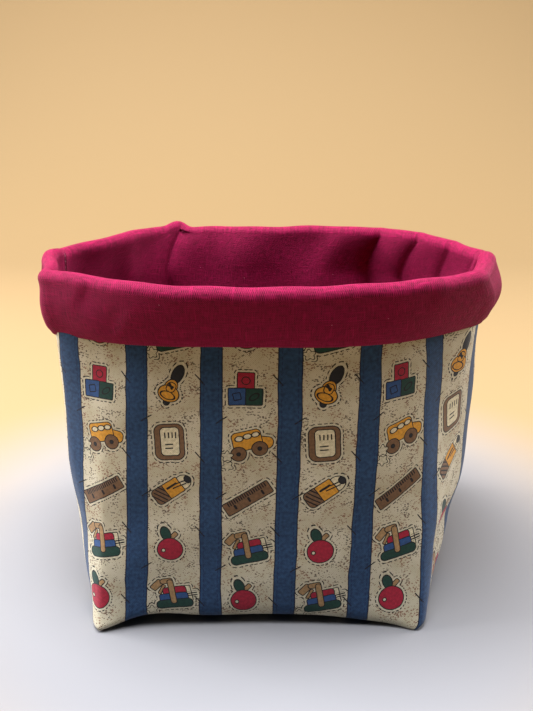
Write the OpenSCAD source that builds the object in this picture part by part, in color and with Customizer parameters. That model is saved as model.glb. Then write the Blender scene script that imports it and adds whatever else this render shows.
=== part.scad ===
// Fabric storage bin: a sewn, lined bag with a boxed square base, whose top
// edge is turned outwards once as a soft rolled cuff.
// Millimetres, +Z up. The origin is on the floor under the middle of the
// bin's overall box, +X to the bin's right and -Y to its front.

/* [Base] */
// Side of the square base
base_w = 128; // [120:1:134]
// Radius of the soft bend between the base and the walls, at mid side
bend_mid = 8; // [5:0.5:9]
// Radius of the same bend at the boxed corners and along the side seams
bend_corner = 3; // [2.6:0.1:3.4]
// How far the front and back base edges bow inwards between the corners
edge_bow = 3; // [0:0.5:4]

/* [Wall and cuff] */
// Height of the lower edge of the cuff, where lining and outer cloth join
hem_z = 117; // [112:1:120]
// Height of the top of the fold, at its lowest place in the front
fold_z = 141; // [139:0.5:144]
// How far the cuff bellies outwards half way down
cuff_belly = 2; // [0:0.5:3]
// Gap between the wall and the cuff along the hem
cuff_gap = 1.2; // [0.8:0.1:2]
// Half of the gap that the cloth leaves inside the fold
fold_gap = 1.2; // [0.8:0.1:1.6]

/* [Cloth] */
// Thickness of the printed outer cotton
outer_t = 0.5; // [0.3:0.1:0.6]
// Thickness of the fleece interfacing
fleece_t = 1.4; // [1:0.1:1.6]
// Thickness of the plain lining cotton
lining_t = 0.5; // [0.3:0.1:0.6]
// Width of a sewn seam line
seam_w = 0.6; // [0.4:0.1:0.8]
// Length of the turning gap in the lining's base seam
opening_w = 60; // [40:5:80]

/* [Hidden] */

// Depths through the layers, measured inwards from the printed face
fleece_d = outer_t;
lining_d = outer_t + fleece_t;
stack_t = outer_t + fleece_t + lining_t;

// The cloth tube is followed round by stations: 0 is the front centre, 4 the
// right side seam, 8 the back centre, 12 (or -4) the left side seam. The four
// base corners are at the stations 2, 6, 10 and 14.
stations = 16;
corner_station = 2;
seam_station = 4;
half = base_w / 2;
corner_cut = 1.3;              // how far a base corner is rounded off
// These two bring the middle of the overall box over the origin. The base
// stands a little to the left of the cuff and behind it.
base_mid = [-3.7, 4.8];
plan_mid = [-1.7, 3.8];
k = base_w / 128;              // the plans below are drawn for a 128 mm base
seam_half = seam_w / 2;
seam_t = seam_half / (base_w / 4);

// Plan of the printed face at the height of the hem, one point per station
hem_plan = [[0, -64], [34, -63], [64, -50], [90, -23], [95, 8], [83, 37], [57, 57], [26, 62],
            [-5, 62], [-37, 62], [-66, 51], [-86, 26], [-92, -5], [-84, -36], [-62, -57], [-32, -63]];
// Plan of the crest of the fold, with its rise over fold_z
rim_plan = [[0, -73, 0], [33, -71, 0.2], [64, -62, 1], [87, -42, 2], [97, -10, 2], [86, 19, 2],
            [67, 44, 2], [36, 60, 1], [3, 62, 1], [-29, 65, 1.5], [-57, 61, 2.5], [-76, 29, 2],
            [-93, -6, 2], [-88, -38, 2], [-65, -60, 1], [-33, -71, 0.3]];

// Rows up the cloth: flat base, bend, wall, fold and cuff
base_rows = 4;
bend_rows = 3;
wall_rows = 6;
fold_rows = 6;
cuff_rows = 4;
columns = 24;
corner_col = columns / 4;
last_row = base_rows + bend_rows + wall_rows + fold_rows + cuff_rows;

// ---- curves ----
function wrap(i) = (i % stations + stations) % stations;
// Smooth closed curve through a plan's points, at station t
function around(pts, t) =
    let (i = floor(t), f = t - i,
         a = pts[wrap(i - 1)], b = pts[wrap(i)], c = pts[wrap(i + 1)], d = pts[wrap(i + 2)])
    0.5 * (2 * b + (c - a) * f + (2 * a - 5 * b + 4 * c - d) * f * f
           + (3 * b - a - 3 * c + d) * f * f * f);

// Distance along one side of the base from its middle, -1 to 1
function side_pos(t) = let (u = wrap(t + corner_station)) (u - 4 * floor(u / 4)) / 2 - 1;
function side_no(t) = floor(wrap(t + corner_station) / 4);
// 1 on the front and back sides, 0 on the two sides that carry the side seams
function long_side(t) = side_no(t) % 2 == 0 ? 1 : 0;
function quarter(p, n) = n == 0 ? p : quarter([-p[1], p[0]], n - 1);
function base_plan(t) =
    let (a = side_pos(t), e = pow(abs(a), 16) * corner_cut, bow = edge_bow * long_side(t) * (1 - a * a))
    quarter([a * half - sign(a) * e, -(half - e - bow)], side_no(t)) + base_mid;
function bend_r(t) = bend_corner + (bend_mid - bend_corner) * long_side(t) * (1 - pow(side_pos(t), 2));

function crest(t) = let (p = around(rim_plan, t)) [k * p[0] + plan_mid[0], k * p[1] + plan_mid[1], fold_z + p[2]];
// Height of the centre of the fold
function fold_c(t) = crest(t)[2] - fold_gap - stack_t;
function hem_at(t) = k * around(hem_plan, t) + plan_mid;

// Plan point of the printed face at station t and height z
function rise(f) = 0.5 * f + 0.5 * sin(90 * f);
function low_plan(t, z) =
    let (w = rise(max(0, z) / hem_z)) base_plan(t) * (1 - w) + hem_at(t) * w;
function wall_plan(t, z) =
    z <= hem_z ? low_plan(t, z)
    : let (g = min(1, (z - hem_z) / (fold_c(t) - hem_z)), r = crest(t))
      hem_at(t) + ([r[0], r[1]] - hem_at(t)) * pow(g, 1.4);
// Outward direction of the wall, in plan
function outward(t, z) =
    let (e = 0.06, v = wall_plan(t + e, z) - wall_plan(t - e, z)) [v[1], -v[0]] / norm(v);

function lift(p, z) = [p[0], p[1], z];
// A point d deep in the cloth on the bend between base and wall, at angle a
function bend_pt(t, a, d) =
    let (r = bend_r(t), n = outward(t, 0))
    lift(low_plan(t, r * (1 - cos(a))) - n * (r - (r - d) * sin(a)), r - (r - d) * cos(a));
function wall_pt(t, z, d) = lift(wall_plan(t, z) - outward(t, z) * (d + fold_gap * fold_lean(t, z)), z);
// The wall steps inwards under the fold, so that the crest stays over its plan
function fold_lean(t, z) = max(0, min(1, (z - hem_z) / (fold_c(t) - hem_z)));
function fold_pt(t, a, d) =
    let (c = fold_c(t), r = fold_gap + d)
    lift(wall_plan(t, c) - outward(t, c) * r * cos(a), c + r * sin(a));
function cuff_pt(t, f, d) =
    let (c = fold_c(t), z = c + (hem_z - c) * f,
         off = fold_gap + cuff_belly * sin(180 * f) + (cuff_gap - fold_gap) * f + d)
    lift(wall_plan(t, z) + outward(t, z) * off, z);

// The flat base: from the seam across its middle out to the bend
seam_x = half - bend_corner - seam_w;
function base_pt(t, f, d) =
    let (s = side_no(t) == 0 ? -1 : 1, edge = bend_pt(t, 0, d),
         corner_x = bend_pt(corner_station - 0.01, 0, d)[0] - base_mid[0], y0 = base_mid[1] + s * seam_half)
    [base_mid[0] + (edge[0] - base_mid[0]) * seam_x / corner_x, y0 + (edge[1] - y0) * f, d];

// One point of a panel's grid. Rows run from the base seam up the wall, over
// the fold and down the cuff.
row_bend = base_rows;
row_wall = base_rows + bend_rows;
row_fold = row_wall + wall_rows;
row_cuff = row_fold + fold_rows;
function grid_pt(t, row, d) =
    row < row_bend ? base_pt(t, row / base_rows, d)
    : row < row_wall ? bend_pt(t, 90 * (row - row_bend) / bend_rows, d)
    : row < row_fold ? let (z0 = bend_r(t), f = (row - row_wall) / wall_rows)
                       wall_pt(t, z0 + (fold_c(t) - z0) * f, d)
    : row < row_cuff ? fold_pt(t, 180 * (row - row_fold) / fold_rows, d)
    : cuff_pt(t, (row - row_cuff) / cuff_rows, d);

// ---- solids ----
function id(row, col) = row * (columns + 1) + col;
// The edge of a panel, followed round once
function rim_ids() = concat(
    [for (r = [base_rows:-1:1]) id(r, corner_col)],
    [for (c = [corner_col:columns - corner_col - 1]) id(0, c)],
    [for (r = [0:base_rows - 1]) id(r, columns - corner_col)],
    [for (c = [columns - corner_col:columns - 1]) id(base_rows, c)],
    [for (r = [base_rows:last_row - 1]) id(r, columns)],
    [for (c = [columns:-1:1]) id(last_row, c)],
    [for (r = [last_row:-1:base_rows + 1]) id(r, 0)],
    [for (c = [0:corner_col - 1]) id(base_rows, c)]);
function has_cell(r, c) = r >= base_rows || (c >= corner_col && c < columns - corner_col);

function halves(q) = [[q[0], q[1], q[2]], [q[0], q[2], q[3]]];

// One cut panel, from its middle station out to both side seams
module panel(mid, d0, d1) {
    span = 2 * (seam_station - seam_t);
    n = (last_row + 1) * (columns + 1);
    pts = [for (d = [d0, d1], r = [0:last_row], c = [0:columns])
        grid_pt(mid + (c / columns - 0.5) * span, has_cell(r, c) || has_cell(r, c - 1) ? r : base_rows, d)];
    outside = [for (r = [0:last_row - 1], c = [0:columns - 1]) if (has_cell(r, c))
        each halves([id(r, c), id(r + 1, c), id(r + 1, c + 1), id(r, c + 1)])];
    inside = [for (q = outside) [q[2] + n, q[1] + n, q[0] + n]];
    e = rim_ids();
    edge = [for (i = [0:len(e) - 1]) let (a = e[i], b = e[(i + 1) % len(e)])
        each halves([b, b + n, a + n, a])];
    polyhedron(points = pts, faces = concat(outside, inside, edge), convexity = 10);
}

// A closed bar through rings of four points each
module bar(rings, closed = false) {
    n = len(rings);
    sides = [for (i = [0:closed ? n - 1 : n - 2], j = [0:3])
        let (m = (i + 1) % n, l = (j + 1) % 4)
        each halves([4 * m + j, 4 * m + l, 4 * i + l, 4 * i + j])];
    caps = closed ? [] : concat(halves([0, 1, 2, 3]), halves([for (j = [3:-1:0]) 4 * (n - 1) + j]));
    polyhedron(points = [for (r = rings) each r], faces = concat(sides, caps), convexity = 10);
}

// Seam up one side of the bin, between the front and the back panel
module side_seam(t, d0, d1) {
    a = t < 0 ? t + seam_t : t - seam_t;
    b = t < 0 ? t - seam_t : t + seam_t;
    rings = [for (r = [base_rows:last_row])
        [grid_pt(a, r, d0), grid_pt(a, r, d1), grid_pt(b, r, d1), grid_pt(b, r, d0)]];
    bar(t < 0 ? rings : [for (q = rings) [q[3], q[2], q[1], q[0]]]);
}

// Seam along the middle of the base, between x0 and x1
module base_seam(x0, x1, d0, d1) {
    translate([base_mid[0] + x0, base_mid[1] - seam_half, d0]) cube([x1 - x0, seam_w, d1 - d0]);
}

// Seam between the base and one side wall, where the corner is boxed
module corner_seam(side, d0, d1) {
    y = (half - bend_corner) * (base_rows - 1) / base_rows;
    x = side * (seam_x + seam_half) - seam_half;
    translate([base_mid[0] + x, base_mid[1] - y, d0]) cube([seam_w, 2 * y, d1 - d0]);
}

// Seam round the lower edge of the cuff, where lining and outer cloth meet
module hem_line() {
    steps = 2 * columns;
    rings = [for (i = [0:steps - 1]) let (t = stations * i / steps,
        a = cuff_pt(t, 1, 0), b = cuff_pt(t, 1, stack_t))
        [a, b, b - [0, 0, seam_w], a - [0, 0, seam_w]]];
    bar(rings, closed = true);
}

// ---- sub-parts ----
print_cream = "#c9b994";
lining_red = "#a0204f";

module outer_front_panel() { color(print_cream) panel(0, 0, outer_t); }
module outer_back_panel() { color(print_cream) panel(8, 0, outer_t); }
module front_interfacing() { color("#f0eee6") panel(0, fleece_d, lining_d); }
module back_interfacing() { color("#f0eee6") panel(8, fleece_d, lining_d); }
module lining_front_panel() { color(lining_red) panel(0, lining_d, stack_t); }
module lining_back_panel() { color(lining_red) panel(8, lining_d, stack_t); }

module outer_left_side_seam() { color("#e8dcc0") side_seam(-seam_station, 0, outer_t); }
module outer_right_side_seam() { color("#e8dcc0") side_seam(seam_station, 0, outer_t); }
module outer_base_seam() { color("#e8dcc0") base_seam(-seam_x, seam_x, 0, outer_t); }
module outer_left_corner_seam() { color("#e8dcc0") corner_seam(-1, 0, outer_t); }
module outer_right_corner_seam() { color("#e8dcc0") corner_seam(1, 0, outer_t); }

module lining_left_side_seam() { color("#b0305c") side_seam(-seam_station, lining_d, stack_t); }
module lining_right_side_seam() { color("#b0305c") side_seam(seam_station, lining_d, stack_t); }
// Machine sewn at both ends; the middle was left open to turn the bin through
module lining_base_seam() {
    color("#b0305c") {
        base_seam(-seam_x, -opening_w / 2, lining_d, stack_t);
        base_seam(opening_w / 2, seam_x, lining_d, stack_t);
    }
}
// The turning gap, closed by hand
module lining_closing_stitches() {
    color("#b8386a") base_seam(-opening_w / 2, opening_w / 2, lining_d, stack_t);
}
module lining_left_corner_seam() { color("#b0305c") corner_seam(-1, lining_d, stack_t); }
module lining_right_corner_seam() { color("#b0305c") corner_seam(1, lining_d, stack_t); }
module hem_seam() { color("#c8a888") hem_line(); }

outer_front_panel();
outer_back_panel();
front_interfacing();
back_interfacing();
lining_front_panel();
lining_back_panel();
outer_left_side_seam();
outer_right_side_seam();
outer_base_seam();
outer_left_corner_seam();
outer_right_corner_seam();
lining_left_side_seam();
lining_right_side_seam();
lining_base_seam();
lining_closing_stitches();
lining_left_corner_seam();
lining_right_corner_seam();
hem_seam();
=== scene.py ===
"""Fabric storage bin: the cloth, the stitching and the finishes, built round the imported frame.

The printed cotton, the fleece and the lining are sheets that follow one sewn shape. The
shape is worked out station by station round the bin and row by row up the cloth: flat
base, bend, wall, fold and cuff. Lengths in this file are millimetres until a mesh is made.
"""
import math
import bpy
import numpy as np
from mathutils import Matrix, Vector


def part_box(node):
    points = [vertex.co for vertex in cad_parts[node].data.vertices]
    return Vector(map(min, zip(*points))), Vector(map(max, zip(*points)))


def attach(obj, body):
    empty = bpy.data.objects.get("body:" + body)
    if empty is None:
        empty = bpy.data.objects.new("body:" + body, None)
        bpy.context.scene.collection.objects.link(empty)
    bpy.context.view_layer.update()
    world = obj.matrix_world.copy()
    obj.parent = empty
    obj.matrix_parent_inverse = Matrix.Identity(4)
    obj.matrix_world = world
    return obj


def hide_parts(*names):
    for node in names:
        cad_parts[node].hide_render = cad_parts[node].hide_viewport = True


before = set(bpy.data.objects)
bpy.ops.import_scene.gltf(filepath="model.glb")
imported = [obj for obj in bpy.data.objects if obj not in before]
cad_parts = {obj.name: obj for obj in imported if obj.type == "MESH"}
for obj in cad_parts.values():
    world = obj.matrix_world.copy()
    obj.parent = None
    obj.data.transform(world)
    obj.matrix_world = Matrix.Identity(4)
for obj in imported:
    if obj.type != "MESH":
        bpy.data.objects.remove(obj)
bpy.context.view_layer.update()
MM = 0.001

# ---------------------------------------------------------------- sizes from the frame


def box_mm(node):
    low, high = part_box(node)
    return np.array(low) / MM, np.array(high) / MM


# The base seam runs across the flat base, so it gives the base's width and its middle
SEAM_LOW, SEAM_HIGH = box_mm("outer_base_seam")
HEM_LOW, HEM_HIGH = box_mm("hem_seam")
CLOSE_LOW, CLOSE_HIGH = box_mm("lining_closing_stitches")
SEAM_WIDTH = SEAM_HIGH[1] - SEAM_LOW[1]
# Radius of the bend between base and wall, at the boxed corners and at mid side
BEND_CORNER = 3.0
BEND_MID = 8.0
BASE_MID_X = (SEAM_HIGH[0] + SEAM_LOW[0]) / 2
BASE_MID_Y = (SEAM_HIGH[1] + SEAM_LOW[1]) / 2
SEAM_X = (SEAM_HIGH[0] - SEAM_LOW[0]) / 2
HALF_BASE = SEAM_X + BEND_CORNER + SEAM_WIDTH
HEM_Z = HEM_HIGH[2]
PRINT_T = SEAM_HIGH[2] - SEAM_LOW[2]
LINING_D = CLOSE_LOW[2]
STACK_T = CLOSE_HIGH[2]
# Height of the crest of the fold at its lowest place
FOLD_Z = 141.0
# The plans below are drawn round a point a little in front of the middle of the base
PLAN_MID = (BASE_MID_X + 2.0, BASE_MID_Y - 1.0)
# Half of the gap inside the fold, the gap behind the hem, and the cuff's swell half way down
FOLD_GAP = 1.2
CUFF_GAP = 1.2
CUFF_BELLY = 2.0
# How far the base's front and back edges bow inwards and its two side edges outwards
EDGE_BOW = 3.0
SIDE_BELLY = 9.0
# How far a base corner is rounded off
CORNER_CUT = 1.3

# The plan of the cloth at the hem, and of the crest of the fold with its rise, at 16
# stations: 0 is the front centre, 4 the right side seam, 8 the back, 12 the left seam.
HEM_PLAN = [(0, -64), (34, -63), (64, -50), (90, -23), (95, 8), (83, 37), (57, 57), (26, 62),
            (-5, 62), (-37, 62), (-66, 51), (-86, 26), (-92, -5), (-84, -36), (-62, -57), (-32, -63)]
RIM_PLAN = [(0, -73, 0), (33, -71, 0.2), (64, -62, 1), (87, -42, 2), (97, -10, 2), (86, 19, 2),
            (67, 44, 2), (36, 60, 1), (3, 62, 1), (-29, 65, 1.5), (-57, 61, 2.5), (-76, 29, 2),
            (-93, -6, 2), (-88, -38, 2), (-65, -60, 1), (-33, -71, 0.3)]
STATIONS = 16
# Sewn edges are pulled together by the thread, down to this gap
JOIN_MM = 0.06
# Cloth from one station to the next, and all the way round
STATION_MM = HALF_BASE / 2
ROUND_MM = STATIONS * STATION_MM
# The side seams and the base corners, in stations from the middle of a panel
SIDE_SEAM = 4.0
CORNER_STATION = 2.0

# ---------------------------------------------------------------- the sewn shape


def around(plan, t):
    """A smooth closed curve through a plan's points, at the stations t."""
    plan = np.array(plan, float)
    i = np.floor(t).astype(int)
    f = (t - i)[..., None]
    a, b, c, d = (plan[(i + n) % STATIONS] for n in (-1, 0, 1, 2))
    return 0.5 * (2 * b + (c - a) * f + (2 * a - 5 * b + 4 * c - d) * f ** 2
                  + (3 * b - a - 3 * c + d) * f ** 3)


def side_of(t):
    """Which side of the base a station is on, and how far along it, -1 to 1."""
    u = (t + 2) % STATIONS
    side = np.floor(u / 4)
    return side, (u - 4 * side) / 2 - 1


def base_plan(t):
    side, a = side_of(t)
    cut = np.abs(a) ** 16 * CORNER_CUT
    bow = np.where(side % 2 == 0, EDGE_BOW, -SIDE_BELLY) * (1 - a * a)
    x = a * HALF_BASE - np.sign(a) * cut
    y = -(HALF_BASE - cut - bow)
    for turn in (1, 2, 3):
        x, y = np.where(side >= turn, -y, x), np.where(side >= turn, x, y)
    return np.stack([x + BASE_MID_X, y + BASE_MID_Y], -1)


def bend_radius(t):
    side, a = side_of(t)
    return BEND_CORNER + (BEND_MID - BEND_CORNER) * (side % 2 == 0) * (1 - a * a)


def crest(t):
    p = around(RIM_PLAN, t)
    return p[..., :2] + PLAN_MID, FOLD_Z + p[..., 2]


def fold_centre(t):
    return crest(t)[1] - FOLD_GAP - STACK_T


def wall_plan(t, z):
    """Where the printed face stands at station t and height z."""
    f = np.clip(z / HEM_Z, 0, 1)
    w = (0.5 * f + 0.5 * np.sin(np.pi / 2 * f))[..., None]
    hem = around(HEM_PLAN, t) + PLAN_MID
    low = base_plan(t) * (1 - w) + hem * w
    g = np.clip((z - HEM_Z) / (fold_centre(t) - HEM_Z), 0, 1)[..., None]
    return np.where(z[..., None] <= HEM_Z, low, hem + (crest(t)[0] - hem) * g ** 1.4)


def outward(t, z):
    """Direction square to the wall, in plan."""
    step = 0.06
    v = wall_plan(t + step, z) - wall_plan(t - step, z)
    v /= np.linalg.norm(v, axis=-1, keepdims=True)
    return np.stack([v[..., 1], -v[..., 0]], -1)


# Rows up the cloth in each part, and columns across a panel
ROWS = {"base": 24, "bend": 6, "wall": 58, "fold": 12, "cuff": 18}
COLUMNS = 176
# Columns worked out past each side seam, so that the directions at the seam agree
SPARE = 3
# Squeezed ends: how much of the layers' spread is left at the hem, and over what length
HEM_SQUEEZE = 0.35
HEM_TAPER = 4.0


def row_list():
    return [(part, i / n) for part, n in ROWS.items() for i in range(n)] + [("cuff", 1.0)]


def printed_face(t):
    """Points of the printed face, row by row, at the stations t, before any creases."""
    rows, side = [], side_of(t)[0]
    r, c = bend_radius(t), fold_centre(t)
    zero = np.zeros_like(t)
    out0, out_c = outward(t, zero), outward(t, c)

    def at(plan, z):
        return np.concatenate([plan, z[..., None]], -1)

    def bend(a):
        return at(wall_plan(t, r * (1 - np.cos(a))) - out0 * (r * (1 - np.sin(a)))[..., None],
                  r * (1 - np.cos(a)))

    edge = bend(0.0)
    for part, f in row_list():
        if part == "base":
            start = edge.copy()
            start[..., 1] = BASE_MID_Y + np.where(side == 0, -1, 1) * JOIN_MM / 2
            row = start * (1 - f) + edge * f
        elif part == "bend":
            row = bend(f * np.pi / 2)
        elif part == "wall":
            z = r + (c - r) * f
            lean = np.clip((z - HEM_Z) / (c - HEM_Z), 0, 1) * FOLD_GAP
            row = at(wall_plan(t, z) - outward(t, z) * lean[..., None], z)
        elif part == "fold":
            a = f * np.pi
            row = at(wall_plan(t, c) - out_c * FOLD_GAP * np.cos(a), c + FOLD_GAP * np.sin(a))
        else:
            z = c + (HEM_Z - c) * f
            gap = FOLD_GAP + CUFF_BELLY * np.sin(np.pi * f) + (CUFF_GAP - FOLD_GAP) * f
            row = at(wall_plan(t, z) + outward(t, z) * gap, z)
        rows.append(row)
    return np.array(rows)


def cloth_length(points):
    """Distance up the cloth of each row, from the front edge of the base."""
    step = np.linalg.norm(np.diff(points, axis=0), axis=-1)
    v = np.concatenate([np.zeros_like(step[:1]), np.cumsum(step, axis=0)])
    return v - v[ROWS["base"]]


V_ROWS = cloth_length(printed_face(np.array([0.0]))[:, 0])
ROW_AT = {}
for number, (part, _) in enumerate(row_list()):
    ROW_AT.setdefault(part, number)
V_FOLD = V_ROWS[ROW_AT["fold"]] + FOLD_GAP * np.pi / 2
V_HEM = V_ROWS[-1]


SWELLS = 7
SWELL_LENGTHS = (24, 70)
SWELL_SEED = 4


def wave(u, v):
    """Slow, uneven swells in cloth that was pressed and handled, about -1 to 1."""
    rng = np.random.default_rng(SWELL_SEED)
    total = np.zeros_like(u)
    for _ in range(SWELLS):
        length = rng.uniform(*SWELL_LENGTHS)
        turn = rng.uniform(0, np.pi)
        phase = rng.uniform(0, 2 * np.pi)
        total += np.sin((u * np.cos(turn) + v * np.sin(turn)) * 2 * np.pi / length + phase)
    return total / 4


def round_from(u, place):
    """Distance round the bin from a place, the shorter way."""
    return (u - place + ROUND_MM / 2) % ROUND_MM - ROUND_MM / 2


def crease(u, v, start, end, width, height, sharp=2.0, lean=1.0):
    """A ridge (or, with a negative height, a valley) along a line on the cloth. lean is how
    many times wider it is on the side of smaller u."""
    start, end = np.array(start, float), np.array(end, float)
    along = end - start
    length = np.linalg.norm(along)
    du = round_from(u, start[0])
    s = (du * along[0] + (v - start[1]) * along[1]) / length ** 2
    across = (du * along[1] - (v - start[1]) * along[0]) / length
    fade = np.clip(np.minimum(s, 1 - s) * 4 + 0.5, 0, 1)
    fade = fade * fade * (3 - 2 * fade)
    reach = np.where(across > 0, width, width * lean)
    return height * np.exp(-np.abs(across / reach) ** sharp) * fade


SWELL_HEIGHT, SWELL_START = 0.55, 25
# A side seam lies in a groove, and its allowance makes a low ridge beside it
GROOVE_DEPTH, GROOVE_REACH = 0.7, 1.3
ALLOWANCE_HEIGHT, ALLOWANCE_PLACE, ALLOWANCE_REACH, ALLOWANCE_START = 0.5, 5, 3, 20


def puff(u, v):
    """How far the cloth stands out from the plain shape, square to the wall."""
    total = SWELL_HEIGHT * np.clip(v / SWELL_START, 0, 1) * wave(u, v)
    for spot in CREASES:
        total += crease(u, v, *spot)
    seam_u = SIDE_SEAM * STATION_MM
    seam = np.minimum(np.abs(round_from(u, seam_u)), np.abs(round_from(u, -seam_u)))
    total -= GROOVE_DEPTH * np.exp(-(seam / GROOVE_REACH) ** 2)
    ridge = ALLOWANCE_HEIGHT * np.exp(-((seam - ALLOWANCE_PLACE) / ALLOWANCE_REACH) ** 2)
    return total + ridge * np.clip(v / ALLOWANCE_START, 0, 1)


# Each crease: its start and end on the cloth, its half width, its height, its profile and,
# where its two sides differ, its lean. u runs round the bin from the front centre and v runs
# up the cloth from the base edge.
CREASES = [
    # vertical corner edges that run up from the boxed corners
    ((-64, -2), (-80, 80), 7, 1.6, 1.2),
    ((64, -2), (74, 70), 7, 1.4, 1.2),
    ((-82, 60), (-84, 175), 9, 3.6, 1.2),
    ((-86, 122), (-85, 175), 2.4, 2.2, 1.0, 1.6),
    ((83, 95), (84, 175), 9, 2.2, 1.2),
    ((88, 128), (87, 175), 3, 1.0, 1.0),
    ((192, -2), (194, 116), 6, 3.0, 1.2),
    ((194, 100), (207, 174), 3.5, 4.2, 1.1, 3.2),
    ((-192, -2), (-210, 112), 6, 3.0, 1.2),
    ((-212, 90), (-203, 174), 9, 3.8, 1.1, 0.3),
    # weaker folds on both side walls near the fold
    ((176, 104), (182, 174), 2.6, 2.6, 1.1, 4.0),
    ((152, 104), (158, 150), 2.6, 2.0, 1.2, 4.0),
    ((-140, 112), (-146, 142), 8, 2.8, 2.0),
    ((-188, 118), (-166, 145), 5, -1.8, 1.6),
    # soft dents in the back wall, as seen inside
    ((238, 60), (214, 150), 9, -1.4, 2.0),
    ((-232, 70), (-250, 150), 12, -1.2, 2.0),
    ((-168, 50), (-158, 110), 8, -1.5, 2.0),
    ((158, 50), (150, 100), 7, -1.2, 2.0),
    # the pinch in the right side wall above the base corner
    ((74, 34), (98, 44), 7, -2.2, 2.0),
    ((-110, 60), (-118, 120), 9, 1.0, 2.0),
    ((118, 50), (120, 120), 9, 1.0, 2.0),
    # shallow dents along the cuff
    ((-66, 150), (-52, 160), 7, -0.9, 2.0),
    ((10, 149), (42, 154), 6, -0.7, 2.0),
    ((60, 150), (80, 158), 6, 0.6, 2.0),
]


# The puff starts over this much cloth above the base edge. The lift of the fold fades out
# over the wall below it and over the cuff, and a little of it is left at the hem.
PUFF_START = 12
LIFT_BELOW, LIFT_ON_CUFF, LIFT_PAST_HEM = 40, 30, 6


def crest_lift(u):
    """The fold's edge isn't quite level."""
    return 0.3 * np.sin(u / 17.0 + 1) + 0.2 * np.sin(u / 9.3 + 2) + 0.2 * np.sin(u / 4.1)


# Where the made-up bin stands away from its plain shape: the middle of the change on the
# cloth, its reach along u and v, and the move in x, y and z.
PUSHES = [
    # the front corners of the base stand forward
    (-64, 0, 10, 12, -1.0, -4.0, 0),
    (64, 0, 9, 10, -1.5, -3.0, 0),
    # the walls belly out above the corners
    (-88, 36, 16, 36, -3.0, 0, 0),
    (96, 40, 16, 32, 3.5, 0, 0),
    (106, 62, 22, 34, 3.5, 0, 0),
    (-80, 115, 14, 30, -1.8, -3.0, 0),
    # the front edge of the base lifts clear of the table between the corners
    (-42, 2, 16, 26, 0, 0, 3.2),
    (0, 2, 22, 20, 0, 0, 1.0),
    (26, 2, 14, 20, 0, 0, 0.8),
    # at the sides the cuff swells out below its fold
    (-99, 149, 20, 7, 3.4, 0, -0.4),
    (-96, 158, 20, 10, 1.5, 0, 0),
    (104, 146, 24, 7, -2.5, 0, -0.5),
    (100, 160, 20, 9, 1.8, 0, 0),
    # the fold rises to a peak at the left back corner and wanders elsewhere
    (-202, 146, 26, 10, 0, 0, -2.2),
    (-204, 146, 5, 9, 0, 0, 3.0),
    (116, 146, 8, 8, 0, 0, 1.8),
    (140, 146, 30, 10, 0, 0, -1.8),
    (-150, 146, 30, 10, 0, 0, -1.2),
    (0, 146, 25, 8, 0, 0, -0.8),
]


def pushes(u, v):
    """The moves of PUSHES at the places u, v on the cloth."""
    total = np.zeros(u.shape + (3,))
    for mid_u, mid_v, reach_u, reach_v, *move in PUSHES:
        du = round_from(u, mid_u)
        weight = np.exp(-(du / reach_u) ** 2 - ((v - mid_v) / reach_v) ** 2)
        total += weight[..., None] * move
    return total


def smooth_across(field, times):
    for _ in range(times):
        field[:, 1:-1] = (field[:, :-2] + 2 * field[:, 1:-1] + field[:, 2:]) / 4
    return field


def face_normals(points, out0):
    """Directions square to the printed face. The base faces down and the bend turns to the wall."""
    n = np.cross(np.gradient(points, axis=1), np.gradient(points, axis=0))
    n /= np.linalg.norm(n, axis=-1, keepdims=True) + 1e-12
    n = smooth_across(n, 2)
    n[:ROW_AT["bend"]] = (0, 0, -1)
    for i in range(ROWS["bend"]):
        a = i / ROWS["bend"] * np.pi / 2
        n[ROW_AT["bend"] + i, :, :2] = out0 * np.sin(a)
        n[ROW_AT["bend"] + i, :, 2] = -np.cos(a)
    return n / (np.linalg.norm(n, axis=-1, keepdims=True) + 1e-12)


def join_base_sides(points, across):
    """Brings the base's two side edges to the lower edge of the side walls they are sewn to."""
    edge = points[ROW_AT["bend"]].copy()
    for sign in (-1, 1):
        last = np.nonzero(sign * across <= CORNER_STATION)[0][-1 if sign > 0 else 0]
        share = np.clip(sign * across / CORNER_STATION, 0, 1)[:, None]
        for i in range(ROW_AT["bend"]):
            place = sign * CORNER_STATION * (2 - i / ROW_AT["bend"])
            target = [np.interp(place, across, edge[:, k]) for k in range(3)]
            points[i] += (target - points[i, last] - [sign * JOIN_MM, 0, 0]) * share


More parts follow.
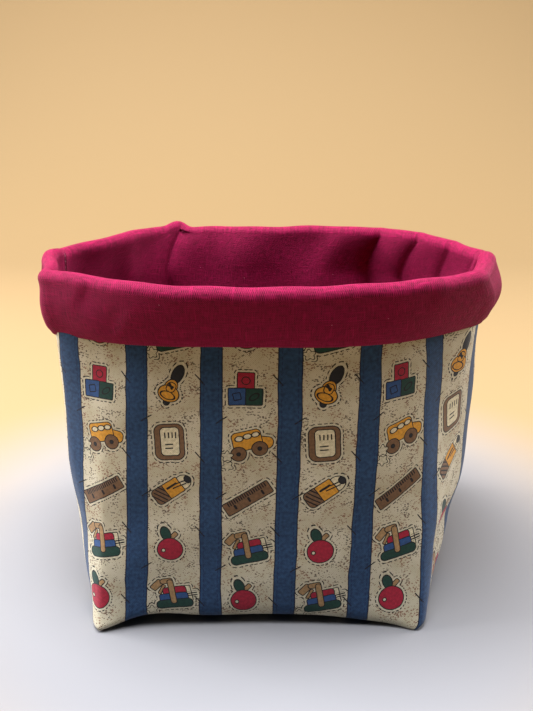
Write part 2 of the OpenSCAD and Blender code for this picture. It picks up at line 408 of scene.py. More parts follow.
class Panel:
    """One cut panel: its columns of stations, its printed face and how deep each layer lies."""

    def __init__(self, middle):
        span = SIDE_SEAM - JOIN_MM / 2 / STATION_MM
        over = span * (1 + 2 * SPARE / COLUMNS)
        t = middle + np.linspace(-over, over, COLUMNS + 1 + 2 * SPARE)
        points = printed_face(t)
        self.u = np.broadcast_to(t * STATION_MM, points.shape[:2])
        self.v = np.broadcast_to(V_ROWS[:, None], points.shape[:2])
        up_cloth = cloth_length(points)
        self.print_v = up_cloth * V_FOLD / up_cloth[ROW_AT["fold"] + ROWS["fold"] // 2]
        out = np.array([outward(t, np.clip(row[:, 2], 0, fold_centre(t))) for row in points])
        up = np.clip(self.v / PUFF_START, 0, 1)
        points[..., :2] += out * (puff(self.u, self.v) * up)[..., None]
        rise = np.clip((self.v - V_FOLD + LIFT_BELOW) / LIFT_BELOW, 0, 1)
        rise = rise * np.clip((V_HEM + LIFT_PAST_HEM - self.v) / LIFT_ON_CUFF, 0, 1)
        points[..., 2] += crest_lift(self.u) * rise
        points += pushes(self.u, self.v)
        join_base_sides(points, t - middle)
        inside = slice(SPARE, SPARE + COLUMNS + 1)
        self.normals = face_normals(points, outward(t, np.zeros_like(t)))[:, inside]
        self.points, self.u, self.v = points[:, inside], self.u[:, inside], self.v[:, inside]
        self.print_v = self.print_v[:, inside]
        corner = (np.abs(t[inside] - middle) <= CORNER_STATION)
        base = ROW_AT["bend"]
        cells = np.ones((len(points) - 1, COLUMNS), bool)
        cells[:base] = corner[:-1] & corner[1:]
        self.cells = cells

    def layer(self, depth, last=None):
        """The points of a surface at a depth in the stack; the layers close up at the hem."""
        mid = STACK_T / 2
        left = np.clip((V_HEM - self.v) / HEM_TAPER, 0, 1)
        squeeze = HEM_SQUEEZE + (1 - HEM_SQUEEZE) * left * left * (3 - 2 * left)
        d = mid + (depth - mid) * squeeze
        return (self.points - self.normals * d[..., None])[:last]


def close_sheet(name, panel, d0, d1, rows_short=0):
    """A cloth sheet with two faces and closed edges, between two depths of one panel."""
    last = len(panel.points) - rows_short
    top, under = panel.layer(d0, last), panel.layer(d1, last)
    cells = panel.cells[:last - 1]
    n_rows, n_cols = top.shape[:2]
    ids = np.arange(n_rows * n_cols).reshape(n_rows, n_cols)
    quads = np.stack([ids[:-1, :-1], ids[:-1, 1:], ids[1:, 1:], ids[1:, :-1]], -1)[cells]
    edges = {}
    for q in quads.tolist():
        for a, b in zip(q, q[1:] + q[:1]):
            if edges.pop((b, a), None) is None:
                edges[(a, b)] = True
    count = n_rows * n_cols
    rim = [(b, a, a + count, b + count) for a, b in edges]
    faces = np.concatenate([quads, quads[:, ::-1] + count, np.array(rim)])
    used, faces = np.unique(faces, return_inverse=True)
    faces = faces.reshape(-1, 4)
    points = np.concatenate([top.reshape(-1, 3), under.reshape(-1, 3)])[used] * MM
    uv = np.stack([panel.u[:last].ravel(), panel.print_v[:last].ravel()], -1)
    uv = np.concatenate([uv, uv])[used] * MM
    mesh = bpy.data.meshes.new(name)
    mesh.from_pydata(points.tolist(), [], faces.tolist())
    layer = mesh.uv_layers.new(name="Cloth")
    layer.data.foreach_set("uv", uv[faces.ravel()].astype(np.float32).ravel())
    mesh.update()
    piece = bpy.data.objects.new(name, mesh)
    bpy.context.collection.objects.link(piece)
    for polygon in mesh.polygons:
        polygon.use_smooth = True
    return piece


def single_stitch(length, radius):
    """One stitch: a ball drawn out along z, so that the thread sinks at both ends."""
    bpy.ops.object.select_all(action="DESELECT")
    bpy.ops.mesh.primitive_uv_sphere_add(segments=8, ring_count=6, radius=0.5 * MM)
    stitch = bpy.context.object
    bpy.ops.object.mode_set(mode="EDIT")
    bpy.ops.mesh.select_all(action="SELECT")
    bpy.ops.transform.resize(value=(2 * radius, 2 * radius, length), center_override=(0, 0, 0))
    bpy.ops.mesh.faces_shade_smooth()
    bpy.ops.object.mode_set(mode="OBJECT")
    return stitch


def stitches(name, path, length=2.1, gap=0.4, radius=0.2):
    """A run of thread stitches along a path of points: one stitch copied from end to end."""
    path = np.array(path, float)
    step = np.linalg.norm(np.diff(path, axis=0), axis=1)
    run = np.concatenate([[0], np.cumsum(step)])
    count = int(run[-1] // (length + gap))
    stitch = single_stitch(length, radius)
    copies = []
    for i in range(count):
        middle = (i + 0.5) * run[-1] / count
        ends = [np.array([np.interp(middle + s * length / 2, run, path[:, k]) for k in range(3)])
                for s in (-1, 1)]
        copy = stitch.copy()
        copy.data = stitch.data.copy()
        copy.location = Vector((ends[0] + ends[1]) / 2 * MM)
        copy.rotation_euler = Vector(ends[1] - ends[0]).to_track_quat("Z", "Y").to_euler()
        bpy.context.collection.objects.link(copy)
        copies.append(copy)
    bpy.data.objects.remove(stitch)
    bpy.ops.object.select_all(action="DESELECT")
    for copy in copies:
        copy.select_set(True)
    bpy.context.view_layer.objects.active = copies[0]
    bpy.ops.object.join()
    bpy.ops.object.transform_apply(location=True, rotation=True, scale=True)
    piece = bpy.context.object
    piece.name = name
    piece.data.name = name
    return piece

# ---------------------------------------------------------------- materials


def linear(hex_colour):
    """An sRGB hex colour as linear RGBA."""
    values = [int(hex_colour[i:i + 2], 16) / 255 for i in (1, 3, 5)]
    return [v / 12.92 if v <= 0.04045 else ((v + 0.055) / 1.055) ** 2.4 for v in values] + [1.0]


def add(tree, kind, inputs=(), out=0, **settings):
    """Adds one shader node. inputs is a list, or a dictionary of socket name or number to value."""
    node = tree.nodes.new("ShaderNode" + kind)
    for key, value in settings.items():
        setattr(node, key, value)
    pairs = inputs.items() if isinstance(inputs, dict) else enumerate(inputs)
    for key, value in pairs:
        if isinstance(value, bpy.types.NodeSocket):
            tree.links.new(value, node.inputs[key])
        elif value is not None:
            node.inputs[key].default_value = value
    return node.outputs[out]


def new_material(name, roughness, **shader_values):
    material = bpy.data.materials.new(name)
    material.use_nodes = True
    tree = material.node_tree
    shader = tree.nodes["Principled BSDF"]
    shader.inputs["Roughness"].default_value = roughness
    for key, value in shader_values.items():
        shader.inputs[key.replace("_", " ")].default_value = value
    return material, tree, shader


def put_on(piece, material):
    """Gives a piece one material."""
    piece.data.materials.clear()
    piece.data.materials.append(material)


# Plain-weave quilting cotton has about 27 threads a centimetre each way, 0.37 mm apart
THREAD_MM = 0.37


def weave_height(tree, cloth, spacing_mm=THREAD_MM):
    """Height of a plain weave, 0 to 1: threads cross over and under each other."""
    turns = math.pi / (spacing_mm * MM)
    u, v = (add(tree, "SeparateXYZ", [cloth], out=i) for i in (0, 1))
    across = add(tree, "Math", [add(tree, "Math", [u, turns], operation="MULTIPLY")], operation="SINE")
    along = add(tree, "Math", [add(tree, "Math", [v, turns], operation="MULTIPLY")], operation="SINE")
    both = add(tree, "Math", [across, along], operation="MULTIPLY")
    return add(tree, "Math", [both, 0.5, 0.5], operation="MULTIPLY_ADD")


def cloth_place(tree, wobble_mm=0.0):
    """The piece's own place on the flat cloth, in metres."""
    place = add(tree, "UVMap", uv_map="Cloth")
    if wobble_mm:
        noise = add(tree, "TexNoise", {"Vector": place, "Scale": 320.0, "Detail": 1.0}, out=1)
        centred = add(tree, "VectorMath", [noise, (0.5, 0.5, 0.5)], operation="SUBTRACT")
        shift = add(tree, "VectorMath", {0: centred, 3: wobble_mm * MM * 2}, operation="SCALE")
        place = add(tree, "VectorMath", [place, shift], operation="ADD")
    return place


CREAM, INK = "#beb69f", "#151316"
BLUE_EDGE = "#0e182c"
RED, GREEN, MUSTARD, BROWN, TAN = "#96182f", "#15382f", "#c98f2c", "#6f5238", "#9a7a52"
HALO, PALE, BLACK, BOOK_BLUE = "#bfb89f", "#cdc3a3", "#1e1e22", "#284878"

# A whole number of repeats added to a count, so that it stays positive all over the cloth
CELLS_ON = 40.0
STRIPE_PITCH = 29.0
# Where the first stripe lies round the bin from the front centre
STRIPE_SHIFT = 9.0
STRIPE_WIDTH = 7.9
ROW_PITCH = 21.85
ROWS_PER_REPEAT = 5
# Height on the cloth of the middle of the lowest row
FIRST_ROW_V = 16.6
# Motifs from the bottom row up, in the two kinds of column between the stripes
COLUMN_A = ["apple", "books", "ruler", "bus", "blocks"]
COLUMN_B = ["books bloom", "apple", "pencil", "slate", "bell"]
# Short loose-thread marks cross the stripes' edges; they repeat up the cloth at this pitch
MARK_PITCH = 31.0
MARKS = [("box", -4.3, -1.0, 0.12, 5.4, 41, 0.1), ("box", 4.0, 14.2, 0.12, 5.0, -56, 0.1)]

# Each motif is drawn from simple shapes, back to front: kind, middle x and y, width,
# height, turn in degrees, corner radius (the spacing for ticks), colour. Millimetres from
# the middle of the motif's cell.
MOTIFS = {
    "apple": [("box", -0.1, 4.6, 1.5, 3.4, -42, 0.4, TAN), ("disc", -3.2, 5.3, 3.5, 5.4, 22, 0, GREEN),
              ("disc", -1.4, -1.3, 9.6, 9.2, 0, 0, RED), ("disc", -4.0, -1.9, 1.1, 1.1, 0, 0, HALO)],
    "books": [("box", -4.6, 1.6, 0.9, 4.2, -24, 0.2, TAN), ("box", -6.6, 3.6, 2.6, 4.8, -40, 0.4, TAN),
              ("box", -2.9, 5.6, 4.6, 2.0, 12, 0.9, TAN), ("box", 4.8, 0.7, 4.4, 6.4, 14, 0.3, PALE),
              ("ticks", 5.9, 0.4, 2.2, 6.6, 104, 1.0, PALE),
              ("box", 0.4, 1.4, 9.0, 3.2, 14, 1.2, RED), ("box", 0.2, -1.4, 11.0, 3.0, 13, 0.8, BOOK_BLUE),
              ("box", 0.7, -4.4, 14.2, 3.4, 13, 1.6, GREEN), ("box", -0.6, 0.9, 2.0, 10.6, 11, 0.9, TAN)],
    "ruler": [("box", -0.4, -0.7, 19.4, 5.0, 32, 0.3, BROWN),
              ("ticks", -0.9, 0.8, 16.6, 1.2, 32, 0.95, BROWN),
              ("box", -5.0, -4.2, 0.2, 1.4, 32, 0.1, INK), ("box", 0.2, -1.1, 0.2, 1.4, 32, 0.1, INK),
              ("box", 5.2, 2.0, 0.2, 1.4, 32, 0.1, INK)],
    "bus": [("box", 5.4, 0.9, 6.6, 4.4, -8, 1.8, MUSTARD), ("box", -0.9, 1.6, 10.8, 7.2, 14, 1.6, MUSTARD),
            ("disc", -3.9, 2.2, 2.6, 1.7, 14, 0, PALE), ("disc", -0.8, 3.3, 2.6, 1.7, 14, 0, PALE),
            ("disc", 2.2, 4.1, 2.4, 1.6, 14, 0, PALE), ("disc", -4.0, -4.0, 5.6, 5.5, 0, 0, BROWN),
            ("disc", 3.9, -1.7, 5.6, 5.5, 0, 0, BROWN), ("disc", -4.0, -4.0, 1.1, 1.1, 0, 0, BLACK),
            ("disc", 3.9, -1.7, 1.1, 1.1, 0, 0, BLACK),
            ("flower", -8.3, -4.9, 3.5, 3.5, 0, 0, HALO), ("flower", -8.2, -9.0, 3.4, 3.4, 30, 0, HALO)],
    "blocks": [("box", -1.5, 3.3, 6.0, 6.1, -1, 0.3, RED), ("box", -4.8, -3.0, 6.2, 6.4, 1, 0.3, BOOK_BLUE),
               ("box", 1.6, -3.1, 6.0, 6.2, -1, 0.3, GREEN), ("disc", -1.5, 3.3, 2.6, 2.6, 0, 0, RED),
               ("box", -4.8, -3.0, 2.4, 2.4, 12, 0.1, BOOK_BLUE),
               ("disc", 1.6, -3.1, 3.2, 1.7, 35, 0, GREEN)],
    "bell": [("disc", -2.8, -5.7, 2.0, 2.2, 0, 0, BLACK), ("disc", 1.7, 5.4, 4.0, 7.0, -25, 0, BLACK),
             ("disc", -0.9, 0.4, 4.6, 5.6, -25, 0, MUSTARD), ("disc", -1.9, -2.3, 7.8, 6.2, -22, 0, MUSTARD),
             ("box", -0.9, 0.2, 3.0, 3.6, -25, 1.2, MUSTARD), ("disc", -2.3, -3.0, 5.0, 2.6, -22, 0, MUSTARD),
             ("box", -1.0, 0.6, 0.14, 2.2, 20, 0.05, INK), ("box", -1.0, 0.6, 1.8, 0.14, -30, 0.05, INK)],
    "slate": [("box", -1.7, -0.1, 11.2, 14.0, 4, 2.8, BROWN), ("box", -1.5, 0.1, 7.0, 11.0, 4, 1.4, PALE),
              ("ticks", -1.4, 2.6, 4.6, 1.8, 4, 1.4, PALE), ("ticks", -1.8, -1.9, 3.4, 2.6, 94, 1.5, PALE)],
    "pencil": [("box", -4.6, -0.3, 6.6, 6.6, 36, 1.7, BROWN), ("ticks", -4.8, -0.4, 5.0, 5.6, 64, 1.5, BROWN),
               ("disc", 3.4, 5.4, 6.6, 5.6, 36, 0, PALE), ("box", -0.2, 2.9, 6.4, 6.4, 36, 0.3, MUSTARD),
               ("ticks", 1.9, 4.4, 2.8, 5.4, 116, 1.3, PALE), ("box", -0.9, 3.6, 4.2, 0.14, 36, 0.05, INK),
               ("disc", 5.3, 6.8, 2.2, 2.6, 36, 0, BLACK)],
    "bloom": [("flower", -8.1, -8.2, 3.4, 3.4, 10, 0, HALO)],
}
OUTLINE_MM = 0.38
# The dashed line printed inside each stripe's edges
DASH_PITCH, DASH_SHARE, DASH_INSET, DASH_HALF_WIDTH = 2.1, 0.6, 1.1, 0.15
PETALS = 5.0
# Half the width of the lines that ticks draws
TICK_LINE = 0.12


def shape_distance(tree, place, kind, x, y, width, height, turn, corner):
    """Distance outside one shape's edge, in mm; place is in mm on the motif's cell."""
    scale = (1.0, 1.0, 1.0)
    if kind == "disc":
        scale = (width / 2, height / 2, 1.0)
    local = add(tree, "Mapping", [place, (x, y, 0), (0, 0, math.radians(turn)), scale],
                vector_type="TEXTURE")
    if kind == "disc":
        length = add(tree, "VectorMath", [local], out=1, operation="LENGTH")
        radius = min(width, height) / 2
        return add(tree, "Math", [length, radius, -radius], operation="MULTIPLY_ADD")
    if kind == "flower":
        a = add(tree, "SeparateXYZ", [local], out=0)
        b = add(tree, "SeparateXYZ", [local], out=1)
        angle = add(tree, "Math", [a, b], operation="ARCTAN2")
        petals = add(tree, "Math", [angle, PETALS], operation="MULTIPLY")
        lobe = add(tree, "Math", [add(tree, "Math", [petals], operation="COSINE"), -0.42, -width / 2],
                   operation="MULTIPLY_ADD")
        length = add(tree, "VectorMath", [local], out=1, operation="LENGTH")
        return add(tree, "Math", [length, lobe], operation="ADD")
    folded = add(tree, "VectorMath", [local], operation="ABSOLUTE")
    round_off = 0.0 if kind == "ticks" else corner
    beyond = add(tree, "VectorMath", [folded, (width / 2 - round_off, height / 2 - round_off, 1.0)],
                 operation="SUBTRACT")
    clear = add(tree, "VectorMath", [beyond, (0, 0, 0)], operation="MAXIMUM")
    length = add(tree, "VectorMath", [clear], out=1, operation="LENGTH")
    if kind == "ticks":
        a = add(tree, "SeparateXYZ", [local], out=0)
        step = add(tree, "Math", [a, 1 / corner, CELLS_ON], operation="MULTIPLY_ADD")
        off_line = add(tree, "Math", [step], operation="FRACT")
        off_line = add(tree, "Math", [off_line, 0.5], operation="SUBTRACT")
        off_line = add(tree, "Math", [off_line], operation="ABSOLUTE")
        off_line = add(tree, "Math", [off_line, corner, TICK_LINE], operation="MULTIPLY_ADD")
        return add(tree, "Math", [off_line, add(tree, "Math", [length, 0.1], operation="ADD")],
                   operation="MAXIMUM")
    return add(tree, "Math", [length, corner], operation="SUBTRACT")


def printed_cotton():
    """Quilting cotton, plain weave, pigment printed: matt and slightly soft, with the weave
    showing through flat colours that have fine dark outlines."""
    material, tree, shader = new_material("Printed quilting cotton", 0.86,
                                          Specular_IOR_Level=0.25, Sheen_Weight=0.12, Sheen_Roughness=0.5)
    flat = cloth_place(tree)
    cloth = cloth_place(tree, 0.16)
    u = add(tree, "Math", [add(tree, "SeparateXYZ", [cloth], out=0), 1 / MM], operation="MULTIPLY")
    v = add(tree, "Math", [add(tree, "SeparateXYZ", [cloth], out=1), 1 / MM], operation="MULTIPLY")
    # which column and which row the point is in, and its place in that cell
    cell_u = add(tree, "Math", [u, 1 / STRIPE_PITCH, CELLS_ON / 2 - STRIPE_SHIFT / STRIPE_PITCH],
                 operation="MULTIPLY_ADD")
    column = add(tree, "Math", [cell_u], operation="FLOOR")
    x = add(tree, "Math", [add(tree, "Math", [cell_u], operation="FRACT"), STRIPE_PITCH, -STRIPE_PITCH / 2],
            operation="MULTIPLY_ADD")
    odd = add(tree, "Math", [column, 2.0], operation="MODULO")
    cell_v = add(tree, "Math", [v, 1 / ROW_PITCH, CELLS_ON / 2 + 0.5 - FIRST_ROW_V / ROW_PITCH],
                 operation="MULTIPLY_ADD")
    row = add(tree, "Math", [cell_v], operation="FLOOR")
    row = add(tree, "Math", [row, ROWS_PER_REPEAT], operation="MODULO")
    y = add(tree, "Math", [add(tree, "Math", [cell_v], operation="FRACT"), ROW_PITCH, -ROW_PITCH / 2],
            operation="MULTIPLY_ADD")
    place = add(tree, "CombineXYZ", [x, y, 0.0])
    cell = add(tree, "Math", [odd, ROWS_PER_REPEAT, row], operation="MULTIPLY_ADD")

    # cream ground with brown and dark flecks
    mottle = add(tree, "TexNoise", {"Vector": flat, "Scale": 90.0, "Detail": 3.0})
    ground = add(tree, "Mix", {0: add(tree, "MapRange", [mottle, 0.35, 0.7]), 6: linear(CREAM),
                               7: linear("#aba286")}, out=2, data_type="RGBA")
    fleck_tone = add(tree, "TexNoise", {"Vector": flat, "Scale": 170.0, "Detail": 2.0})
    leaning = add(tree, "Mapping", [cloth, None, (0, 0, 0.9), (1.0, 1.5, 1.0)])
    fleck_spot = add(tree, "TexVoronoi", {"Vector": leaning, "Scale": 1050.0, "Randomness": 1.0})
    spot_size = add(tree, "MapRange", [fleck_tone, 0.36, 0.62, 0.15, 0.44])
    flecks = add(tree, "Math", [fleck_spot, spot_size], operation="LESS_THAN")
    fleck_colour = add(tree, "Mix", {0: add(tree, "MapRange", [mottle, 0.45, 0.55]),
                                     6: linear("#3c3128"), 7: linear("#7a523c")}, out=2, data_type="RGBA")
    ground_flecked = add(tree, "Mix", {0: add(tree, "Math", [flecks, 0.85], operation="MULTIPLY"), 6: ground,
                                       7: fleck_colour}, out=2, data_type="RGBA")

    # motifs: the paper-pale halo and the dashed line follow the union of a motif's shapes
    colour, union = None, None
    for name, shapes in MOTIFS.items():
        numbers = [ROWS_PER_REPEAT * side + i for side, names in ((0, COLUMN_B), (1, COLUMN_A))
                   for i, cell_names in enumerate(names) if name in cell_names.split()]
        off = add(tree, "Math", [cell, float(numbers[0]), 0.1], operation="COMPARE")
        for number in numbers[1:]:
            other = add(tree, "Math", [cell, float(number), 0.1], operation="COMPARE")
            off = add(tree, "Math", [off, other], operation="ADD")
        far = add(tree, "Math", [off, -60.0, 60.0], operation="MULTIPLY_ADD")
        for kind, mx, my, width, height, turn, corner, tint in shapes:
            d = shape_distance(tree, place, kind, mx, my, width, height, turn, corner)
            d = add(tree, "Math", [d, far], operation="ADD")
            union = d if union is None else add(tree, "Math", [union, d], operation="MINIMUM")
            inked = add(tree, "Math", [d, OUTLINE_MM], operation="LESS_THAN")
            filled = add(tree, "Math", [d, 0.0], operation="LESS_THAN")
            under = colour if colour is not None else linear(HALO)
            colour = add(tree, "Mix", {0: inked, 6: under, 7: linear(INK)}, out=2, data_type="RGBA")
            colour = add(tree, "Mix", {0: filled, 6: colour, 7: linear(tint)}, out=2, data_type="RGBA")

    # brushed shade inside the colours
    brush = add(tree, "TexNoise", {"Vector": cloth, "Scale": 900.0, "Detail": 2.0})
    shade = add(tree, "MapRange", [brush, 0.3, 0.7, 0.72, 1.12])
    colour = add(tree, "Mix", {0: 1.0, 6: colour, 7: shade}, out=2, data_type="RGBA", blend_type="MULTIPLY")
    inside = add(tree, "Math", [union, 1.0], operation="LESS_THAN")
    colour = add(tree, "Mix", {0: inside, 6: ground_flecked, 7: colour}, out=2, data_type="RGBA")

    # dashes round each motif
    angle = add(tree, "Math", [y, x], operation="ARCTAN2")
    dash = add(tree, "Math", [add(tree, "Math", [angle, 26 / (2 * math.pi), 40.0], operation="MULTIPLY_ADD")],
               operation="FRACT")
    on_ring = add(tree, "Math", [union, 1.3, 0.2], operation="COMPARE")
    dashed = add(tree, "Math", [on_ring, add(tree, "Math", [dash, 0.62], operation="LESS_THAN")],
                 operation="MULTIPLY")
    colour = add(tree, "Mix", {0: dashed, 6: colour, 7: linear(INK)}, out=2, data_type="RGBA")

    # denim-blue stripes with inked edges and a dashed line inside each
    from_edge = add(tree, "Math", [add(tree, "Math", [x], operation="ABSOLUTE"), -1.0, STRIPE_PITCH / 2],
                    operation="MULTIPLY_ADD")
    edge_wave = add(tree, "TexNoise", {"Vector": flat, "Scale": 60.0, "Detail": 1.0})
    half_width = add(tree, "MapRange", [edge_wave, 0.3, 0.7, STRIPE_WIDTH / 2 - 0.3, STRIPE_WIDTH / 2 + 0.3])
    into = add(tree, "Math", [from_edge, half_width], operation="SUBTRACT")
    stripe_ink = add(tree, "Math", [into, 0.42], operation="LESS_THAN")
    stripe = add(tree, "Math", [into, 0.0], operation="LESS_THAN")
    twill = add(tree, "TexNoise", {"Vector": cloth, "Scale": 700.0, "Detail": 2.0})
    denim = add(tree, "Mix", {0: add(tree, "MapRange", [twill, 0.3, 0.7]), 6: linear("#162e4c"),
                              7: linear("#244468")}, out=2, data_type="RGBA")
    colour = add(tree, "Mix", {0: stripe_ink, 6: colour, 7: linear(BLUE_EDGE)}, out=2, data_type="RGBA")
    colour = add(tree, "Mix", {0: stripe, 6: colour, 7: denim}, out=2, data_type="RGBA")
    # the loose-thread marks
    from_stripe = add(tree, "Math", [add(tree, "Math", [add(tree, "Math", [cell_u, 0.5], operation="ADD")],
                                         operation="FRACT"), STRIPE_PITCH, -STRIPE_PITCH / 2],
                      operation="MULTIPLY_ADD")
    up_mark = add(tree, "Math", [add(tree, "Math", [add(tree, "Math", [v, 1 / MARK_PITCH, 20.0],
                                                        operation="MULTIPLY_ADD")], operation="FRACT"),
                                 MARK_PITCH, -MARK_PITCH / 2], operation="MULTIPLY_ADD")
    mark_place = add(tree, "CombineXYZ", [from_stripe, up_mark, 0.0])
    for mark in MARKS:
        d = shape_distance(tree, mark_place, *mark)
        colour = add(tree, "Mix", {0: add(tree, "Math", [d, 0.18], operation="LESS_THAN"), 6: colour,
                                   7: linear(INK)}, out=2, data_type="RGBA")
    run = add(tree, "Math", [v, 1 / DASH_PITCH, 100.0], operation="MULTIPLY_ADD")
    run = add(tree, "Math", [run], operation="FRACT")
    on_dash = add(tree, "Math", [run, DASH_SHARE], operation="LESS_THAN")
    stitch = add(tree, "Math", [into, -DASH_INSET, DASH_HALF_WIDTH], operation="COMPARE")
    stitch = add(tree, "Math", [stitch, on_dash], operation="MULTIPLY")
    colour = add(tree, "Mix", {0: stitch, 6: colour, 7: linear("#16264a")}, out=2, data_type="RGBA")

    weave = weave_height(tree, flat)
    thread_tone = add(tree, "MapRange", [weave, 0.0, 1.0, 0.82, 1.12])
    colour = add(tree, "Mix", {0: 1.0, 6: colour, 7: thread_tone}, out=2, data_type="RGBA",
                 blend_type="MULTIPLY")
    tree.links.new(colour, shader.inputs["Base Color"])
    bump = add(tree, "Bump", {"Strength": 0.5, "Distance": 0.0001, "Height": weave})
    tree.links.new(bump, shader.inputs["Normal"])
    return material


# Size of a speck of lint, as a share of its cell
LINT_SIZE = 0.022


def lining_cotton():
    """Plain-weave dyed cotton: deep crimson, matt, with a soft lighter bloom where the cloth
    turns away, fine cross threads and slightly uneven yarn."""
    material, tree, shader = new_material("Crimson quilting cotton", 0.8, Specular_IOR_Level=0.12,
                                          Sheen_Weight=0.11, Sheen_Roughness=0.4)
    shader.inputs["Sheen Tint"].default_value = linear("#ee6a92")
    cloth = cloth_place(tree)
    stretched = add(tree, "Mapping", [cloth, None, None, (260.0, 2600.0, 1.0)])
    yarn_a = add(tree, "TexNoise", {"Vector": stretched, "Scale": 1.0, "Detail": 1.0})
    other_way = add(tree, "Mapping", [cloth, None, None, (2600.0, 260.0, 1.0)])
    yarn_b = add(tree, "TexNoise", {"Vector": other_way, "Scale": 1.0, "Detail": 1.0})
    yarn = add(tree, "Math", [yarn_a, yarn_b], operation="ADD")
    weave = weave_height(tree, cloth)
    tone = add(tree, "Math", [yarn, weave], operation="ADD")
    # slubs: short lengths of yarn that are thicker than the rest
    for scales in ((120.0, 1900.0, 1.0), (1900.0, 120.0, 1.0)):
        lengths = add(tree, "Mapping", [cloth, None, None, scales])
        thick = add(tree, "TexNoise", {"Vector": lengths, "Scale": 1.0, "Detail": 0.0})
        slub = add(tree, "MapRange", [thick, 0.66, 0.78, 0.0, 0.4])
        tone = add(tree, "Math", [tone, slub], operation="ADD")
    colour = add(tree, "Mix", {0: add(tree, "MapRange", [tone, 1.0, 2.0]), 6: linear("#48021b"),
                               7: linear("#8a0a3e")}, out=2, data_type="RGBA")
    # specks of pale lint
    speck = add(tree, "TexVoronoi", {"Vector": cloth, "Scale": 150.0, "Randomness": 1.0})
    lint = add(tree, "Math", [speck, LINT_SIZE], operation="LESS_THAN")
    colour = add(tree, "Mix", {0: lint, 6: colour, 7: linear("#b8788c")}, out=2, data_type="RGBA")
    tree.links.new(colour, shader.inputs["Base Color"])
    bump = add(tree, "Bump", {"Strength": 0.7, "Distance": 0.00016, "Height": tone})
    tree.links.new(bump, shader.inputs["Normal"])
    return material


def fleece():
    """Needled fusible fleece: off-white, fibrous, fully matt."""
    material, tree, shader = new_material("Needled fusible fleece", 0.95, Sheen_Weight=0.3)
    cloth = cloth_place(tree)
    fibre = add(tree, "TexNoise", {"Vector": cloth, "Scale": 1500.0, "Detail": 4.0, "Distortion": 2.0})
    colour = add(tree, "Mix", {0: fibre, 6: linear("#d9d5c9"), 7: linear("#f3f0e6")}, out=2, data_type="RGBA")
    tree.links.new(colour, shader.inputs["Base Color"])
    tree.links.new(add(tree, "Bump", {"Strength": 0.6, "Distance": 0.0003, "Height": fibre}),
                   shader.inputs["Normal"])
    return material


def sewing_thread(name, dark, light):
    """Spun cotton thread: two plies twisted, slightly glossy on the crowns."""
    material, tree, shader = new_material(name, 0.6, Sheen_Weight=0.3)
    place = add(tree, "TexCoord", out=3)
    plies = add(tree, "TexWave", {"Vector": place, "Scale": 900.0, "Distortion": 1.5}, out=1,
                bands_direction="DIAGONAL")
    colour = add(tree, "Mix", {0: plies, 6: linear(dark), 7: linear(light)}, out=2, data_type="RGBA")
    tree.links.new(colour, shader.inputs["Base Color"])
    tree.links.new(add(tree, "Bump", {"Strength": 0.5, "Distance": 0.00005, "Height": plies}),
                   shader.inputs["Normal"])
    return material

# ---------------------------------------------------------------- the pieces

PRINTED = printed_cotton()
LINING = lining_cotton()
FLEECE = fleece()
CREAM_THREAD = sewing_thread("Cream cotton thread", "#b9aa84", "#e4d9bb")
CRIMSON_THREAD = sewing_thread("Crimson cotton thread", "#6d0f30", "#a52a55")
TAN_THREAD = sewing_thread("Tan cotton thread", "#8a6a48", "#c0a078")

SIDES = {"front": Panel(0.0), "back": Panel(8.0)}


def finish_sheet(piece, node, material):
    put_on(piece, material)
    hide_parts(node)
    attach(piece, "root")


for side, panel in SIDES.items():
    outer = close_sheet(f"outer_{side}_cloth", panel, 0.0, PRINT_T)
    pad = close_sheet(f"{side}_fleece", panel, PRINT_T, LINING_D, rows_short=2)
    inner = close_sheet(f"lining_{side}_cloth", panel, LINING_D, STACK_T)
    finish_sheet(outer, f"outer_{side}_panel", PRINTED)
    finish_sheet(pad, f"{side}_interfacing", FLEECE)
    finish_sheet(inner, f"lining_{side}_panel", LINING)


def seam_path(first, second, depth, rows):
    """The line midway between the edges of two panels, at a depth in the stack."""
    a, b = (side.layer(depth)[rows, column] for side, column in (first, second))
    return (a + b) / 2


front, back = SIDES["front"], SIDES["back"]
WALL_UP = slice(ROW_AT["bend"], None)
BASE_ROWS = slice(0, ROW_AT["bend"] - 1)
base_columns = np.nonzero(front.cells[0])[0]
first_col, last_col = base_columns[0], base_columns[-1] + 1


def add_seam(name, node, path, material, slot, **sizes):
    piece = stitches(name, path, **sizes)
    put_on(piece, material)
    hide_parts(node)
    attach(piece, "root")


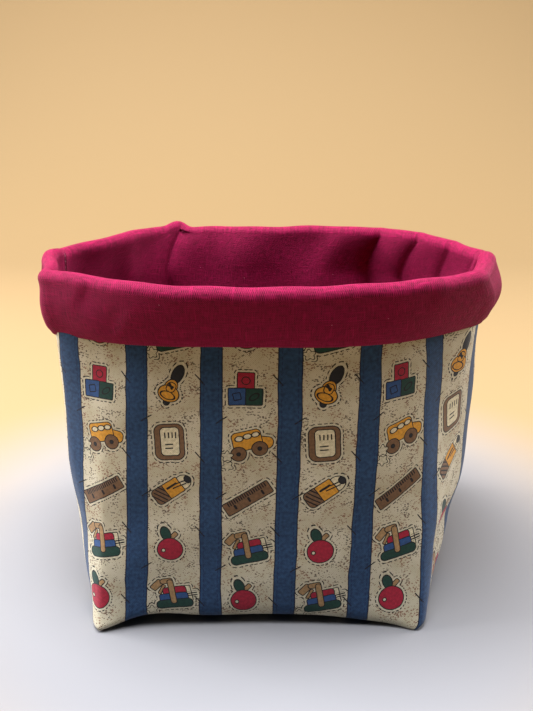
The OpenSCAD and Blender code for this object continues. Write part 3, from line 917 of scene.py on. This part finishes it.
for layer, depth, thread, slot in (("outer", PRINT_T * 0.4, CREAM_THREAD, "cream_thread"),
                                   ("lining", STACK_T - 0.2, CRIMSON_THREAD, "crimson_thread")):
    for name, a, b in (("left", (front, 0), (back, COLUMNS)), ("right", (front, COLUMNS), (back, 0))):
        add_seam(f"{layer}_{name}_side_stitches", f"{layer}_{name}_side_seam",
                 seam_path(a, b, depth, WALL_UP), thread, slot)
    y, z = BASE_MID_Y, depth
    seam_x = (BASE_MID_X - SEAM_X + 1, BASE_MID_X + SEAM_X - 1)
    if layer == "outer":
        add_seam("outer_base_stitches", "outer_base_seam",
                 [(seam_x[0], y, z), (seam_x[1], y, z)], thread, slot)
    else:
        half_gap = (CLOSE_HIGH[0] - CLOSE_LOW[0]) / 2
        add_seam("lining_base_stitches", "lining_base_seam",
                 [(seam_x[0], y, z), (BASE_MID_X - half_gap, y, z)], thread, slot)
        add_seam("lining_hand_stitches", "lining_closing_stitches",
                 [(CLOSE_LOW[0], y, z), (CLOSE_HIGH[0], y, z)], thread, slot, length=2.6, gap=1.6)
    for name, front_col, back_col in (("left", first_col, last_col), ("right", last_col, first_col)):
        half_paths = [side.layer(depth)[BASE_ROWS, column]
                      for side, column in ((front, front_col), (back, back_col))]
        add_seam(f"{layer}_{name}_corner_stitches", f"{layer}_{name}_corner_seam",
                 np.concatenate([half_paths[0][::-1], half_paths[1]]), thread, slot)

hem_path = np.concatenate([side.layer(STACK_T / 2)[-1] for side in (front, back)])
add_seam("hem_stitches", "hem_seam", np.concatenate([hem_path, hem_path[:1]]) - [0, 0, 0.1], TAN_THREAD,
         "tan_thread")

# ---------------------------------------------------------------- floor, light and camera

FLOOR_WIDE, FLOOR_DEEP, WALL_TALL, SWEEP_RADIUS = 5.0, 2.2, 2.2, 0.45


def floor_sweep():
    """A board that runs flat under the bin and curves up behind it."""
    bpy.ops.object.select_all(action="DESELECT")
    bpy.ops.mesh.primitive_plane_add(size=1, location=(0, 0, 0))
    floor = bpy.context.object
    floor.name = "floor_sweep"
    bpy.ops.object.mode_set(mode="EDIT")
    bpy.ops.mesh.select_all(action="SELECT")
    bpy.ops.transform.resize(value=(FLOOR_WIDE, FLOOR_DEEP, 1), center_override=(0, 0, 0))
    bpy.ops.mesh.select_mode(type="EDGE")
    bpy.ops.mesh.select_all(action="DESELECT")
    bpy.ops.object.mode_set(mode="OBJECT")
    for edge in floor.data.edges:
        edge.select = all(floor.data.vertices[i].co.y > 0 for i in edge.vertices)
    bpy.ops.object.mode_set(mode="EDIT")
    bpy.ops.mesh.extrude_region_move(TRANSFORM_OT_translate={"value": (0, 0, WALL_TALL)})
    bpy.ops.object.mode_set(mode="OBJECT")
    bevel = floor.modifiers.new("sweep", "BEVEL")
    bevel.width = SWEEP_RADIUS
    bevel.segments = 24
    bpy.ops.object.modifier_apply(modifier=bevel.name)
    bpy.ops.object.shade_smooth()
    return floor


# Pale grey near the bin, turning to peach further off
CARD_PALE_TO, CARD_PEACH_FROM = 0.11, 0.24
floor_material, floor_tree, floor_shader = new_material("Matt peach card", 0.8)
from_bin = add(floor_tree, "VectorMath", [add(floor_tree, "TexCoord", out=3)], out=1, operation="LENGTH")
card_tone = add(floor_tree, "MapRange", [from_bin, CARD_PALE_TO, CARD_PEACH_FROM],
                interpolation_type="SMOOTHSTEP")
card = add(floor_tree, "Mix", {0: card_tone, 6: linear("#767678"), 7: linear("#88714c")}, out=2,
           data_type="RGBA")
floor_tree.links.new(card, floor_shader.inputs["Base Color"])
floor = floor_sweep()
put_on(floor, floor_material)


def soft_light(name, place, target, width, height, watts, colour):
    data = bpy.data.lights.new(name, "AREA")
    data.shape = "RECTANGLE"
    data.size, data.size_y = width, height
    data.energy = watts
    data.color = linear(colour)[:3]
    lamp = bpy.data.objects.new(name, data)
    lamp.location = place
    lamp.rotation_euler = (Vector(target) - Vector(place)).to_track_quat("-Z", "Y").to_euler()
    bpy.context.collection.objects.link(lamp)


AIM = (0, 0, 0.08)
soft_light("overhead", (-0.10, -0.14, 1.0), (0, 0.0, 0.1), 0.7, 0.4, 28, "#f8f9ff")
soft_light("window_left", (-1.0, 0.10, 0.60), AIM, 0.6, 0.6, 27, "#f8f9ff")
soft_light("window_right", (1.0, 0.28, 0.55), AIM, 0.6, 0.6, 14, "#f8f9ff")
soft_light("backdrop", (0, 0.35, 1.6), (0, 1.1, 0.35), 2.4, 0.3, 36, "#fff9f4")

world = bpy.data.worlds.new("studio")
world.use_nodes = True
world.node_tree.nodes["Background"].inputs[0].default_value = linear("#e8edf6")
world.node_tree.nodes["Background"].inputs[1].default_value = 0.02
bpy.context.scene.world = world

# The camera looks at the bin from in front and a little above, 7.7 degrees down
CAMERA_RIGHT, CAMERA_BACK, CAMERA_HEIGHT = 0.4, 333.6, 202.3
CAMERA_DOWN = 7.7
camera_data = bpy.data.cameras.new("camera")
camera_data.lens = 37.97
camera_data.shift_y = -0.2
camera = bpy.data.objects.new("camera", camera_data)
camera.location = Vector((PLAN_MID[0] + CAMERA_RIGHT, PLAN_MID[1] - CAMERA_BACK, CAMERA_HEIGHT)) * MM
camera.rotation_euler = (math.radians(90 - CAMERA_DOWN), 0, 0)
bpy.context.collection.objects.link(camera)
bpy.context.scene.camera = camera
bpy.context.scene.view_settings.view_transform = "Standard"
